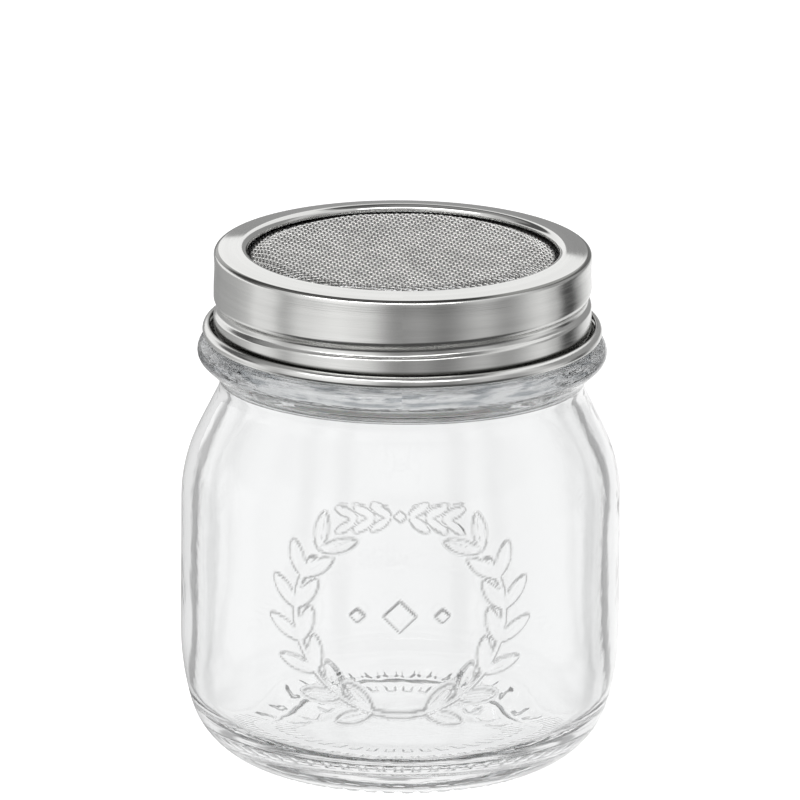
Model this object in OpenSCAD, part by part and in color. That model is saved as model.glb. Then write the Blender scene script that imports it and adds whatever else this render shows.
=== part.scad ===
// Glass spice jar with a screw-on shaker lid.
// The lid is a pressed steel cap that holds a domed wire sieve over its round opening.
// Millimetres, +Z up, origin at the centre of the ring that the jar stands on.

/* [Glass body] */
// Outer diameter of the straight wall
body_d = 84; // [80:0.5:110]
// Glass thickness of the wall
wall = 3.4; // [2:0.1:4.5]
// Glass thickness at the middle of the floor
floor_t = 5; // [2.5:0.1:7]
// Height at which the straight wall begins, above the heel
wall_from = 24; // [22:0.5:34]
// Length of the straight wall
wall_len = 26; // [10:0.5:80]

/* [Heel and foot] */
// Radius of the long curve below the straight wall
side_r = 50; // [40:1:60]
// Angle that the long curve turns through
side_turn = 16; // [12:1:20]
// Radius of the heel curve
heel_r = 15; // [13:0.5:17]
// Width of the flat ring that the jar stands on
foot_w = 2.8; // [1.5:0.1:5]
// Rise of the hollow under the base
punt_h = 1.7; // [1:0.1:5]
// Number of grip grooves across the foot
foot_grooves = 56; // [24:1:72]
// Depth of the grip grooves
foot_groove_h = 0.5; // [0.2:0.05:0.8]

/* [Shoulder and neck] */
// Inner diameter of the mouth
mouth_d = 62.8; // [58:0.2:64]
// Glass thickness of the neck, without its thread
neck_wall = 2.8; // [2.4:0.1:3.2]
// Radius of the shoulder curve
shoulder_r = 30; // [20:1:40]
// Angle that the shoulder turns through
shoulder_turn = 26; // [20:1:34]
// Radius of the hollow curve at the waist
waist_fillet = 4.3; // [3:0.1:6]
// Overhang of the round bead beyond the neck
bead_out = 4.85; // [4.5:0.05:6]
// Height of the bead above the waist
bead_rise = 6.5; // [5.5:0.1:9]
// Height of the rim above the bead
neck_h = 15.9; // [14:0.1:22]
// Rounding of the rim's edges
rim_round = 0.9; // [0.3:0.1:1.2]

/* [Thread] */
// Rise of the thread in one turn
pitch = 4.5; // [4:0.1:5]
// Height of the glass thread above the neck
thread_h = 1.05; // [0.8:0.05:1.2]
// Width of the glass thread at its root
thread_w = 2.6; // [2:0.1:2.8]
// Angle that the glass thread covers
thread_sweep = 450; // [360:10:480]
// Angle that the lid's rolled thread covers
roll_sweep = 350; // [300:10:360]
// Depth of the lid's rolled thread
roll_h = 0.8; // [0.7:0.05:0.9]
// Width of the rolled thread's mouth on the outside
roll_w = 2.6; // [2:0.1:2.8]
// Gap between the crest of the glass thread and the lid's skirt
skirt_gap = 0.35; // [0.2:0.05:0.6]

/* [Lid] */
// Thickness of the pressed steel
sheet = 0.4; // [0.3:0.05:0.5]
// Width of the flat ring round the sieve's opening
ring_w = 6.4; // [6:0.1:11]
// Bend radius of the opening's rolled lip
lip_bend = 1.2; // [0.8:0.1:1.4]
// Bend radius of the lid's upper corner
corner_bend = 1; // [0.7:0.1:1.4]
// Radius of the outward curl at the foot of the skirt
curl_r = 1.25; // [1:0.05:1.5]
// Height of the curl's centre above the middle of the bead
curl_rise = 4.4; // [4:0.1:5]

/* [Sieve and seal] */
// Thickness of the wire cloth
cloth_t = 0.68; // [0.5:0.02:0.9]
// Height of the sieve's crown above its clamped rim
crown_h = 1.2; // [0.6:0.1:1.4]
// Distance of the flat pierced crown's edge from the opening's edge
crown_inset = 3.3; // [3:0.1:8]
// Spacing of the holes in the crown
hole_pitch = 3.3; // [3.2:0.1:5]
// Width of one hole
hole_w = 2.35; // [1.5:0.05:2.4]
// Thickness of the clamp ring under the sieve
clamp_t = 0.5; // [0.4:0.05:0.8]
// Thickness of the soft seal on the rim
seal_t = 1.6; // [1:0.1:2.4]

/* [Raised ornament] */
// Height of the raised leaves above the wall
relief_h = 0.45; // [0.3:0.05:0.7]
// Radius of the wreath's stems
wreath_r = 19.5; // [15:0.5:21]
// Length of one leaf
leaf_len = 8; // [5:0.5:9]
// Width of one leaf
leaf_w = 2.9; // [2:0.1:3.5]

/* [Hidden] */
$fn = 96;

// Steps along one arc of an outline
arc_steps = 8;
// Steps of a thread in one full turn
thread_steps = 48;
// Angle over which a thread fades in and out at its ends
fade = 28;

body_r = body_d / 2;
bore_r = mouth_d / 2;
waist_r = bore_r + wall;
neck_r = bore_r + neck_wall;
bead_r = neck_r + bead_out;

// Heel: the long curve ends where the heel curve begins.
side_end = [body_r - side_r + side_r * cos(side_turn), wall_from - side_r * sin(side_turn)];
heel_c = [side_end.x - heel_r * cos(side_turn), side_end.y + heel_r * sin(side_turn)];
foot_turn = asin(min(1, heel_c.y / heel_r));
foot_r = heel_c.x + heel_r * cos(foot_turn);
foot_in_r = foot_r - foot_w;
// Width of the plain ring inside the grooves
foot_plain_w = 0.8;
// Edge fillet between the foot and the hollow under the base
punt_edge = 2;

// Shoulder: an arc, then a straight cone to the waist's hollow curve.
shoulder_z = wall_from + wall_len;
shoulder_c = [body_r - shoulder_r, shoulder_z];
shoulder_end = shoulder_c + shoulder_r * [cos(shoulder_turn), sin(shoulder_turn)];
cone_end_r = waist_r + waist_fillet * (1 - cos(shoulder_turn));
cone_end_z = shoulder_end.y + (shoulder_end.x - cone_end_r) / tan(shoulder_turn);
waist_z = cone_end_z + waist_fillet * sin(shoulder_turn);
waist_c = [waist_r + waist_fillet, waist_z];
// Angle over which the hollow curve goes on above the waist
waist_turn = 58;

// Bead: a small curve below its widest line and a larger one above, each over its own angle.
bead_z = waist_z + bead_rise;
bead_low = 1.8;
bead_low_turn = 52;
bead_high = 2.5;
bead_high_turn = 80;
neck_foot = 0.3;
rim_z = bead_z + neck_h;

// Lid: its skirt clears the glass thread, and its top stands on the seal, clamp ring and sieve.
skirt_in_r = neck_r + thread_h + skirt_gap;
skirt_r = skirt_in_r + sheet;
opening_r = skirt_r - ring_w;
// Slight waist of the skirt below the upper corner, and its height there
skirt_nip = 0.2;
skirt_nip_drop = 3.4;
skirt_full_drop = 8;
seal_z = rim_z;
clamp_z = seal_z + seal_t;
cloth_z = clamp_z + clamp_t;
// Gap between the sieve and the end of the lip
lip_gap = 0.15;
lip_end_z = cloth_z + cloth_t + lip_gap;
// Length of the lip's upright below its bend
lip_drop = 0.3;
lid_top = lip_end_z + lip_drop + lip_bend;
curl_z = bead_z + curl_rise;
curl_c = [skirt_in_r + curl_r, curl_z];
// The curl's free edge stops this far round, clear of the skirt
curl_stop = 108;

// Rolled thread: it passes the front, at 270 degrees, this far above the curl's centre.
roll_rise = 5.5;
roll_z = curl_z + roll_rise;
roll_from = 150;
roll_crest_w = 0.9;
// The tool that cuts the groove starts outside the skirt, so that its mouth is roll_w wide there.
groove_over = 0.5;
groove_w = roll_w + (roll_w - roll_crest_w) * groove_over / roll_h;
// The glass thread lies above the rolled thread, with this gap between their flanks.
thread_crest_w = 1;
thread_gap = 0.3;
thread_lead = (thread_crest_w + 0.8 * roll_w) / 2 + thread_gap;
thread_root = 0.3;
thread_from = -30;

// Clamp ring: it stands in the skirt, and its inner edge hides behind the lip.
clamp_gap = 0.1;
clamp_r = skirt_in_r - skirt_nip - clamp_gap;
clamp_hide = 0.6;
clamp_in_r = opening_r + clamp_hide;
clamp_bevel = 0.4;

// Sieve: its rim lies under the lip, inside the clamp ring, and its crown rises inside the opening.
cloth_gap = 0.3;
cloth_turn = -14.5;
cloth_r = clamp_r - clamp_t - cloth_gap;
crown_r = opening_r - crown_inset;
crown_foot_r = opening_r - cloth_gap;
crown_edge = 0.5;

// Seal: it covers the rim's flat top, and its outer edge stands over the neck.
seal_inset = 0.3;
seal_over = 0.7;
seal_in_r = bore_r + seal_inset;
seal_r = neck_r + seal_over;

// Ornament: a wreath on the front and a small sprig on the back, with their middles at these heights
wreath_z = 39;
sprig_z = 33;
relief_sink = 0.6;
relief_reach = 25;
leaf_stations = 7;
leaf_first = -76;
leaf_step = 19;
leaf_spread = 32;
sprig_first = 1.5;
sprig_step = 3.6;
stem_w = 1;
// Height that one stem climbs from the wreath's lowest point
stem_reach = 1.55 * wreath_r;
diamond_big = 5;
diamond_small = 2.6;
diamond_gap = 8;

function arc(c, r, from, to, n = arc_steps) =
    [for (i = [0:n]) let(a = from + (to - from) * i / n) c + r * [cos(a), sin(a)]];

function glass_outside() = concat(
    arc(heel_c, heel_r, -foot_turn, -side_turn),
    arc([body_r - side_r, wall_from], side_r, -side_turn, 0),
    arc(shoulder_c, shoulder_r, 0, shoulder_turn),
    arc(waist_c, waist_fillet, 180 + shoulder_turn, 180 - waist_turn),
    arc([bead_r - bead_low, bead_z], bead_low, -bead_low_turn, 0),
    arc([bead_r - bead_high, bead_z], bead_high, 0, bead_high_turn),
    [[neck_r, bead_z + bead_high + neck_foot]],
    arc([neck_r - rim_round, rim_z - rim_round], rim_round, 0, 90, 4));

// The inside keeps the wall's thickness, with a rounded edge round the floor.
inner_heel = 9;
inner_heel_turn = 82;
floor_z = punt_h + floor_t;
floor_dip = 0.5;

function glass_inside() = concat(
    arc([bore_r + rim_round, rim_z - rim_round], rim_round, 90, 180, 4),
    arc(waist_c, waist_fillet + wall, 180, 180 + shoulder_turn),
    arc(shoulder_c, shoulder_r - wall, shoulder_turn, 0),
    arc([body_r - wall - inner_heel, floor_z - floor_dip + inner_heel], inner_heel, 0, -inner_heel_turn),
    [[0, floor_z]]);

// Underside: fillet from the foot into the hollow, then a shallow dome.
function glass_under() = concat(
    [[0, punt_h]],
    [for (i = [1:arc_steps]) let(t = i / arc_steps)
        [(foot_in_r - punt_edge) * t, punt_h - (punt_h - punt_edge * 0.6) * t * t]],
    [[foot_in_r, 0]]);

module glass_revolved() {
    rotate_extrude()
        polygon(concat(glass_outside(), glass_inside(), glass_under()));
}

// One thread ring after another: each section is a trapezoid that fades at the two ends.
// root_r and crest_r are its radii, root_w and crest_w its widths.
function thread_fade(a, sweep) = max(0.02, min(1, a / fade, (sweep - a) / fade));

function thread_section(a, z, root_r, crest_r, root_w, crest_w, f) =
    let(crest = root_r + (crest_r - root_r) * f)
    [for (q = [[root_r, -root_w / 2], [crest, -crest_w / 2], [crest, crest_w / 2], [root_r, root_w / 2]])
        [q.x * cos(a), q.x * sin(a), z + q.y]];

module thread_body(from, sweep, front_z, root_r, crest_r, root_w, crest_w) {
    n = ceil(thread_steps * sweep / 360);
    rings = [for (i = [0:n]) let(a = sweep * i / n)
        thread_section(from + a, front_z + pitch * (from + a - 270) / 360,
            root_r, crest_r, root_w, crest_w, thread_fade(a, sweep))];
    outward = crest_r > root_r;
    sides = [for (i = [0:n - 1], k = [0:3]) let(
            p = 4 * i + k, q = 4 * i + (k + 1) % 4)
        each [[p, q, q + 4], [p, q + 4, p + 4]]];
    ends = [[3, 2, 1, 0], [4 * n, 4 * n + 1, 4 * n + 2, 4 * n + 3]];
    polyhedron([for (r = rings) each r],
        [for (f = concat(sides, ends)) outward ? f : backward(f)],
        convexity = 4);
}

module glass_thread() {
    thread_body(thread_from, thread_sweep, roll_z + thread_lead,
        neck_r - thread_root, neck_r + thread_h, thread_w, thread_crest_w);
}

// The grooves leave a plain flat ring at the foot's inner edge.
module foot_grip() {
    for (i = [0:foot_grooves - 1])
        rotate([0, 0, 360 * i / foot_grooves])
            translate([foot_in_r + foot_plain_w, 0, -foot_groove_h])
                rotate([0, 90, 0])
                    cylinder(r = 2 * foot_groove_h, h = foot_w + 2, $fn = 24);
}

// A leaf is the lens between two equal circles, with its tip at the origin's right.
module leaf(len, width) {
    r = (len * len / 4 + width * width / 4) / width;
    intersection() {
        translate([len / 2, r - width / 2]) circle(r);
        translate([len / 2, width / 2 - r]) circle(r);
    }
}

module half_wreath() {
    intersection() {
        difference() {
            circle(wreath_r + stem_w / 2);
            circle(wreath_r - stem_w / 2);
        }
        translate([0, -wreath_r - stem_w])
            square([wreath_r + stem_w, stem_reach]);
    }
    for (i = [0:leaf_stations - 1]) {
        a = leaf_first + leaf_step * i;
        translate(wreath_r * [cos(a), sin(a)])
            for (side = [-1, 1])
                rotate(a + 90 + side * leaf_spread) leaf(leaf_len, leaf_w);
    }
}

module diamonds() {
    for (k = [-1:1])
        translate([diamond_gap * k, 0])
            rotate(45)
                square(k == 0 ? diamond_big : diamond_small, center = true);
}

module wreath() {
    half_wreath();
    mirror([1, 0]) half_wreath();
    diamonds();
}

// Three pairs of smaller leaves point outwards on each side of a small diamond.
module sprig() {
    rotate(45) square(diamond_small, center = true);
    for (side = [0, 1], i = [0:2], up = [-1, 1])
        mirror([side, 0])
            translate([sprig_first + sprig_step * i, 0])
                rotate(leaf_spread * up)
                    leaf(0.75 * leaf_len, 0.8 * leaf_w);
}

// An ornament stands out of the wall between two cylinders.
module raised(z) {
    intersection() {
        rotate([90, 0, 0]) translate([0, z, 0]) linear_extrude(body_r + 2) children();
        rotate_extrude()
            translate([body_r - relief_sink, z - relief_reach])
                square([relief_sink + relief_h, 2 * relief_reach]);
    }
}

module jar() {
    color("lightcyan", 0.45) {
        difference() {
            union() {
                glass_revolved();
                glass_thread();
                raised(wreath_z) wreath();
                rotate([0, 0, 180]) raised(sprig_z) sprig();
            }
            foot_grip();
        }
    }
}

// Pressed sheet: the outside face from the lip to the curl, then the inside face back again.
function lid_outside() = concat(
    [[opening_r + sheet, lip_end_z], [opening_r, lip_end_z]],
    arc([opening_r + lip_bend, lid_top - lip_bend], lip_bend, 180, 90),
    arc([skirt_r - corner_bend, lid_top - corner_bend], corner_bend, 90, 0),
    [[skirt_r - skirt_nip, lid_top - skirt_nip_drop]],
    [[skirt_r, lid_top - skirt_full_drop]],
    [[skirt_r, curl_z]]);

function lid_inside() = concat(
    [[skirt_in_r, curl_z]],
    [[skirt_in_r, lid_top - skirt_full_drop]],
    [[skirt_in_r - skirt_nip, lid_top - skirt_nip_drop]],
    arc([skirt_r - corner_bend, lid_top - corner_bend], corner_bend - sheet, 0, 90, 4),
    arc([opening_r + lip_bend, lid_top - lip_bend], lip_bend - sheet, 90, 180, 4));

// The curl starts at the skirt, turns under and outwards, and stops short of the skirt again.
module lid_curl() {
    away = 4 * curl_r;
    translate(curl_c)
        difference() {
            circle(curl_r);
            circle(curl_r - sheet);
            polygon([[0, 0], away * [cos(curl_stop), sin(curl_stop)], [-away, away], [-away, 0]]);
        }
}

module lid_shell() {
    color("silver") {
        difference() {
            union() {
                rotate_extrude() {
                    polygon(concat(lid_outside(), lid_inside()));
                    lid_curl();
                }
                thread_body(roll_from, roll_sweep, roll_z,
                    skirt_in_r + sheet / 2, skirt_in_r - roll_h, roll_w + sheet, roll_crest_w + sheet);
            }
            thread_body(roll_from, roll_sweep, roll_z,
                skirt_r + groove_over, skirt_r - roll_h, groove_w, roll_crest_w);
        }
    }
}

// Wire cloth: its rim is flat under the lip, its crown is pierced by a grid of square holes.
module crown_holes() {
    reach = floor(crown_r / hole_pitch);
    keep_r = crown_r - crown_edge;
    for (i = [-reach:reach], k = [-reach:reach])
        if (norm([abs(i) * hole_pitch + hole_w / 2, abs(k) * hole_pitch + hole_w / 2]) < keep_r)
            translate([i * hole_pitch, k * hole_pitch]) square(hole_w, center = true);
}

function cloth_face(z) = concat(
    [for (i = [0:arc_steps]) let(t = i / arc_steps, s = (1 + cos(180 * t)) / 2)
        [crown_r + (crown_foot_r - crown_r) * t, z + crown_h * s]],
    [[cloth_r, z]]);

function backward(points) = [for (i = [len(points) - 1:-1:0]) points[i]];

module mesh() {
    color("gray") {
        rotate([0, 0, cloth_turn])
            translate([0, 0, cloth_z + crown_h])
                linear_extrude(cloth_t)
                    difference() {
                        circle(crown_r);
                        crown_holes();
                    }
        rotate_extrude()
            polygon(concat(cloth_face(cloth_z), backward(cloth_face(cloth_z + cloth_t))));
    }
}

// Pressed ring: a flat under the sieve and an upright rim that meets the lid's flat top.
module mesh_ring() {
    top = lid_top - sheet;
    color("gainsboro")
        rotate_extrude()
            polygon([
                [clamp_in_r, clamp_z],
                [clamp_r, clamp_z],
                [clamp_r, top - clamp_bevel],
                [clamp_r - clamp_bevel, top],
                [clamp_r - clamp_t, top],
                [clamp_r - clamp_t, clamp_z + clamp_t],
                [clamp_in_r, clamp_z + clamp_t],
            ]);
}

module seal_ring() {
    color("white")
        rotate_extrude()
            translate([seal_in_r, seal_z]) square([seal_r - seal_in_r, seal_t]);
}

jar();
lid_shell();
mesh();
mesh_ring();
seal_ring();
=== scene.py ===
"""Glass spice jar with a screw-on steel shaker lid, laid out as an add-on and run as a script."""

import math
import random

import bpy
from bpy.props import FloatProperty, FloatVectorProperty, IntProperty, PointerProperty
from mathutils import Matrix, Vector


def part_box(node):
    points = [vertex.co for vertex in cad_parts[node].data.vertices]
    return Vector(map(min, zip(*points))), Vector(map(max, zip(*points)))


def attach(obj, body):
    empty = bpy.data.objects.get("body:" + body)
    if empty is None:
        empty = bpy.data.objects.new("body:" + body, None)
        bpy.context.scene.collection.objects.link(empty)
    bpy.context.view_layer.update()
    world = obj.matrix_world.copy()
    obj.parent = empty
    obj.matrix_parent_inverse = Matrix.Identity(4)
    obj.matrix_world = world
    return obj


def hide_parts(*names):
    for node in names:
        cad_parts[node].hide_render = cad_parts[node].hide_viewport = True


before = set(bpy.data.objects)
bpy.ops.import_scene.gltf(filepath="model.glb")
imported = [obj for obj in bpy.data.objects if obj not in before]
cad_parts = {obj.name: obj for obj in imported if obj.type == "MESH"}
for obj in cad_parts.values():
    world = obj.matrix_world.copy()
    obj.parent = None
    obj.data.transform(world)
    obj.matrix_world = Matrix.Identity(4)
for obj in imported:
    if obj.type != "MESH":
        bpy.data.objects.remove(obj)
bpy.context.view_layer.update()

bl_info = {
    "name": "Glass spice jar with shaker lid",
    "version": (1, 0, 0),
    "blender": (4, 5, 0),
    "location": "3D View > Sidebar > Spice jar",
    "description": "Builds a pressed glass jar, its steel cap, wire sieve, clamp ring and seal",
    "category": "Add Mesh",
}

# Outlines are worked out in millimetres and turned into metres when a mesh is made.
MM = 0.001
TAU = 2 * math.pi
# Each refined cell of the glass is cut this many ways along both sides.
REFINE = 4

# Heights that the frame gives, in millimetres
RIM_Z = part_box("seal_ring")[0].z / MM
CLAMP_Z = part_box("seal_ring")[1].z / MM
CLOTH_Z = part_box("mesh")[0].z / MM
LID_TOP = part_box("lid_shell")[1].z / MM
BEAD_Z = RIM_Z - 15.9
CURL_Z = BEAD_Z + 4.1


class GlassSettings(bpy.types.PropertyGroup):
    """Sizes and colour of the glass jar"""

    body_radius: FloatProperty(
        name="Body radius", description="Outer radius of the straight wall", default=42 * MM, unit="LENGTH")
    wall: FloatProperty(
        name="Wall", description="Glass thickness of the wall", default=3.4 * MM, unit="LENGTH")
    bore_radius: FloatProperty(
        name="Bore radius", description="Inner radius of the mouth", default=31.4 * MM, unit="LENGTH")
    relief: FloatProperty(
        name="Relief", description="Height of the raised ornament", default=0.45 * MM, unit="LENGTH")
    foot_grooves: IntProperty(
        name="Foot grooves", description="Number of grip grooves across the foot", default=56, min=24, max=72)
    tint: FloatVectorProperty(
        name="Tint", description="Colour of the glass", default=(0.962, 0.966, 0.967), size=3, subtype="COLOR")
    bead_tint: FloatVectorProperty(
        name="Bead tint", description="Colour of the glass on its streaky bead", default=(0.15, 0.165, 0.178),
        size=3, subtype="COLOR")
    # Painted shade: a dark colour on the ornament's steep sides, in place of the dark lines that refraction draws
    # there
    flank_shade: FloatVectorProperty(
        name="Edge tint", description="Colour of the steep sides of the ornament", default=(0.2, 0.2, 0.2), size=3,
        subtype="COLOR")
    ior: FloatProperty(
        name="Index of refraction", description="How strongly the glass bends light", default=1.5, subtype="FACTOR")


class LidSettings(bpy.types.PropertyGroup):
    """Sizes and colour of the pressed steel cap and clamp ring"""

    skirt_radius: FloatProperty(
        name="Skirt radius", description="Outer radius of the skirt", default=36 * MM, unit="LENGTH")
    sheet: FloatProperty(
        name="Sheet", description="Thickness of the pressed steel", default=0.4 * MM, unit="LENGTH")
    ring_width: FloatProperty(
        name="Ring width", description="Width of the flat ring round the opening", default=6.4 * MM, unit="LENGTH")
    ring_fall: FloatProperty(
        name="Ring fall", description="How far the ring falls towards the corner", default=0.6 * MM, unit="LENGTH")
    roll_depth: FloatProperty(
        name="Roll depth", description="Depth of the rolled thread", default=0.8 * MM, unit="LENGTH")
    steel: FloatVectorProperty(
        name="Steel", description="Colour of the satin steel", default=(0.76, 0.76, 0.745), size=3, subtype="COLOR")
    # Painted shade: dark colour in the crease over the curl, where shade falls, and a painted dark reflection line
    # along the cap's corner
    crease_shade: FloatVectorProperty(
        name="Crease", description="Colour of the steel deep in the crease over the curl and along the corner",
        default=(0.26, 0.26, 0.25), size=3, subtype="COLOR")
    # Painted light: the inner side is coloured far brighter than the outer steel, standing in for light that reaches
    # inside the cap
    inner: FloatVectorProperty(
        name="Inner side", description="Colour of the steel inside the cap", default=(0.97, 0.97, 0.97), size=3,
        subtype="COLOR")
    roughness: FloatProperty(
        name="Roughness", description="Roughness of the satin steel", default=0.17, min=0, max=1, subtype="FACTOR")


class ClothSettings(bpy.types.PropertyGroup):
    """Sizes and colour of the woven wire sieve"""

    pitch: FloatProperty(
        name="Pitch", description="Distance between neighbouring wires", default=0.94 * MM, unit="LENGTH")
    wire: FloatProperty(
        name="Wire", description="Diameter of the wire", default=0.34 * MM, unit="LENGTH")
    turn: FloatProperty(
        name="Turn", description="Angle of the weave round the axis", default=math.radians(-14.5), unit="ROTATION")
    colour: FloatVectorProperty(
        name="Wire colour", description="Colour of the wire", default=(0.9, 0.895, 0.88), size=3, subtype="COLOR")
    # Painted shade: the wire's colour where it goes down between the others, where shade falls
    crossing_shade: FloatVectorProperty(
        name="Crossing colour", description="Colour of the wire deep in the crossings", default=(0.12, 0.117, 0.112),
        size=3, subtype="COLOR")
    roughness: FloatProperty(
        name="Roughness", description="Roughness of the wire", default=0.1, min=0, max=1, subtype="FACTOR")


class SealSettings(bpy.types.PropertyGroup):
    """Rounding and colour of the soft seal"""

    rounding: FloatProperty(
        name="Rounding", description="Radius of the seal's edges", default=0.45 * MM, unit="LENGTH")
    colour: FloatVectorProperty(
        name="Seal colour", description="Colour of the silicone", default=(0.88, 0.88, 0.85), size=3, subtype="COLOR")


class StageSettings(bpy.types.PropertyGroup):
    """Floor, light and camera"""

    floor: FloatVectorProperty(
        name="Floor", description="Colour of the floor", default=(0.93, 0.93, 0.93), size=3, subtype="COLOR")
    lamp_power: FloatProperty(
        name="Lamp power", description="Power of the soft lamp overhead", default=4, unit="POWER")
    strip_power: FloatProperty(
        name="Strip power", description="Power of the strip lamp in front", default=6.6, unit="POWER")
    elevation: FloatProperty(
        name="Elevation", description="Angle of the camera above the table", default=math.radians(17), unit="ROTATION")
    distance: FloatProperty(
        name="Distance", description="Distance of the camera from the jar", default=2.2, unit="LENGTH")
    lens: FloatProperty(
        name="Lens", description="Focal length of the camera", default=517.5, subtype="DISTANCE_CAMERA")
    roll: FloatProperty(
        name="Roll", description="Turn of the camera about its view", default=math.radians(0.5), unit="ROTATION")
    aside: FloatProperty(
        name="Aside", description="Shift of the camera to the right", default=-0.33 * MM, unit="LENGTH")


class SpiceJarSettings(bpy.types.PropertyGroup):
    """All settings of the spice jar"""

    glass: PointerProperty(type=GlassSettings, name="Glass", description="Glass jar")
    lid: PointerProperty(type=LidSettings, name="Lid", description="Steel cap and clamp ring")
    cloth: PointerProperty(type=ClothSettings, name="Sieve", description="Woven wire sieve")
    seal: PointerProperty(type=SealSettings, name="Seal", description="Soft seal")
    stage: PointerProperty(type=StageSettings, name="Stage", description="Floor, light and camera")


# Small helpers for curves and numbers

def smooth(value, low, high):
    """0 below low, 1 above high, and an even S curve between them."""
    share = min(1.0, max(0.0, (value - low) / (high - low)))
    return share * share * (3 - 2 * share)


def arc(centre, radius, start, end, steps):
    """A leg of an outline: an arc from one angle to another, in degrees."""
    def point(share):
        angle = math.radians(start + (end - start) * share)
        return centre[0] + radius * math.cos(angle), centre[1] + radius * math.sin(angle)
    return point, steps


def line(start, end, steps):
    """A leg of an outline: a straight stretch."""
    def point(share):
        return start[0] + (end[0] - start[0]) * share, start[1] + (end[1] - start[1]) * share
    return point, steps


def leg_points(legs, cuts=1):
    """The points of all legs in order, each step cut into equal parts, and the name of each point's leg."""
    points = []
    names = []
    for name, (point, steps) in legs:
        for i in range(steps * cuts):
            points.append(point(i / (steps * cuts)))
            names.append(name)
    last_name, (point, steps) = legs[-1]
    points.append(point(1))
    names.append(last_name)
    return points, names


# Making meshes

def finish_mesh(name, points, faces, body, nodes, material):
    """Make a smooth mesh object of points in millimetres, and fix it to its body in the frame."""
    mesh = bpy.data.meshes.new(name)
    mesh.from_pydata([(x * MM, y * MM, z * MM) for x, y, z in points], [], faces)
    mesh.shade_smooth()
    mesh.validate()
    mesh.materials.append(material)
    piece = bpy.data.objects.new(name, mesh)
    bpy.context.scene.collection.objects.link(piece)
    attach(piece, body)
    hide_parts(*nodes)
    return piece


def around(radius, angle, height):
    """A point round the axis. Angle 0 is the front, and it grows towards the right."""
    return radius * math.sin(angle), -radius * math.cos(angle), height


def lattice(columns, rows, place, refined):
    """Points and faces of a lattice that closes round the axis, with some cells cut finer.

    place gives the point at a fine column and row, and refined says which cells are cut finer.
    A plain cell beside a finer one takes the finer cell's points along the shared side.
    """
    fine_columns = columns * REFINE
    points = []
    numbers = {}

    def number(u, v):
        pole = v in (0, rows * REFINE)
        key = (0 if pole else u % fine_columns, v)
        if key not in numbers:
            numbers[key] = len(points)
            points.append(place(key[0], v))
        return numbers[key]

    def cell(i, j):
        return 0 <= j < rows and refined(i % columns, j)

    def side(u0, v0, u1, v1, finer):
        steps = REFINE if finer else 1
        return [number(u0 + (u1 - u0) * k // steps, v0 + (v1 - v0) * k // steps) for k in range(steps)]

    faces = []
    for j in range(rows):
        for i in range(columns):
            u = i * REFINE
            v = j * REFINE
            if cell(i, j):
                for a in range(REFINE):
                    for b in range(REFINE):
                        faces.append([number(u + a, v + b), number(u + a + 1, v + b),
                                      number(u + a + 1, v + b + 1), number(u + a, v + b + 1)])
            else:
                faces.append(side(u, v, u + REFINE, v, cell(i, j - 1))
                             + side(u + REFINE, v, u + REFINE, v + REFINE, cell(i + 1, j))
                             + side(u + REFINE, v + REFINE, u, v + REFINE, cell(i, j + 1))
                             + side(u, v + REFINE, u, v, cell(i - 1, j)))
    return points, [list(dict.fromkeys(face)) for face in faces]


def lathe(outline, columns, shift=None):
    """Points and faces of a closed outline turned round the axis. shift moves a point outwards."""
    count = len(outline)
    points = []
    for i in range(columns):
        angle = TAU * i / columns
        for radius, height in outline:
            moved = shift(angle, height) if shift else 0
            points.append(around(radius + moved, angle, height))
    faces = []
    for i in range(columns):
        here = i * count
        there = (i + 1) % columns * count
        for j in range(count):
            after = (j + 1) % count
            faces.append((here + j, there + j, there + after, here + after))
    return points, faces


def sheet_outline(path, thickness):
    """The closed outline of a bent sheet round its middle line, with rounded edges."""
    last = len(path) - 1
    half = thickness / 2
    outer = []
    inner = []
    for i, (radius, height) in enumerate(path):
        before = path[max(0, i - 1)]
        after = path[min(last, i + 1)]
        run = after[0] - before[0]
        rise = after[1] - before[1]
        length = math.hypot(run, rise)
        outer.append((radius + half * rise / length, height - half * run / length))
        inner.append((radius - half * rise / length, height + half * run / length))

    def cap(edge, neighbour):
        """The tip of a rounded edge, past the end of the path."""
        length = math.hypot(edge[0] - neighbour[0], edge[1] - neighbour[1])
        return (edge[0] + half * (edge[0] - neighbour[0]) / length,
                edge[1] + half * (edge[1] - neighbour[1]) / length)

    return outer + [cap(path[last], path[last - 1])] + inner[::-1] + [cap(path[0], path[1])]


def mark_inner_side(piece, outline, columns, whole=False):
    """Note on a turned sheet which points are on its inner side, over the curl, or that the whole of it is."""
    half = len(outline) // 2
    values = [float((i >= half or whole) and height > CURL_Z + 1.5) for i, (_, height) in enumerate(outline)]
    piece.data.attributes.new(INNER, "FLOAT", "POINT").data.foreach_set("value", values * columns)


# Helpers for node trees

def add_node(tree, kind, **values):
    """Add a node and set its attributes."""
    node = tree.nodes.new(kind)
    for name, value in values.items():
        setattr(node, name, value)
    return node


def feed(tree, socket, value):
    """Link an output to a socket, or set the socket to a number or colour."""
    if isinstance(value, bpy.types.NodeSocket):
        tree.links.new(value, socket)
    else:
        socket.default_value = value


def calc(tree, operation, *values):
    """A Math node's result."""
    node = add_node(tree, "ShaderNodeMath", operation=operation)
    for socket, value in zip(node.inputs, values):
        feed(tree, socket, value)
    return node.outputs[0]


def ease(tree, value, low, high, low_result=0.0, high_result=1.0):
    """A value that rises in an even S curve as another goes from low to high."""
    node = add_node(tree, "ShaderNodeMapRange", interpolation_type="SMOOTHSTEP")
    for name, given in (("Value", value), ("From Min", low), ("From Max", high),
                        ("To Min", low_result), ("To Max", high_result)):
        feed(tree, node.inputs[name], given)
    return node.outputs["Result"]


def mix_values(tree, share, first, second):
    """Two values mixed by a share."""
    node = add_node(tree, "ShaderNodeMix", data_type="FLOAT")
    for socket, value in zip(node.inputs, (share, None, first, second)):
        if value is not None:
            feed(tree, socket, value)
    return node.outputs[0]


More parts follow.
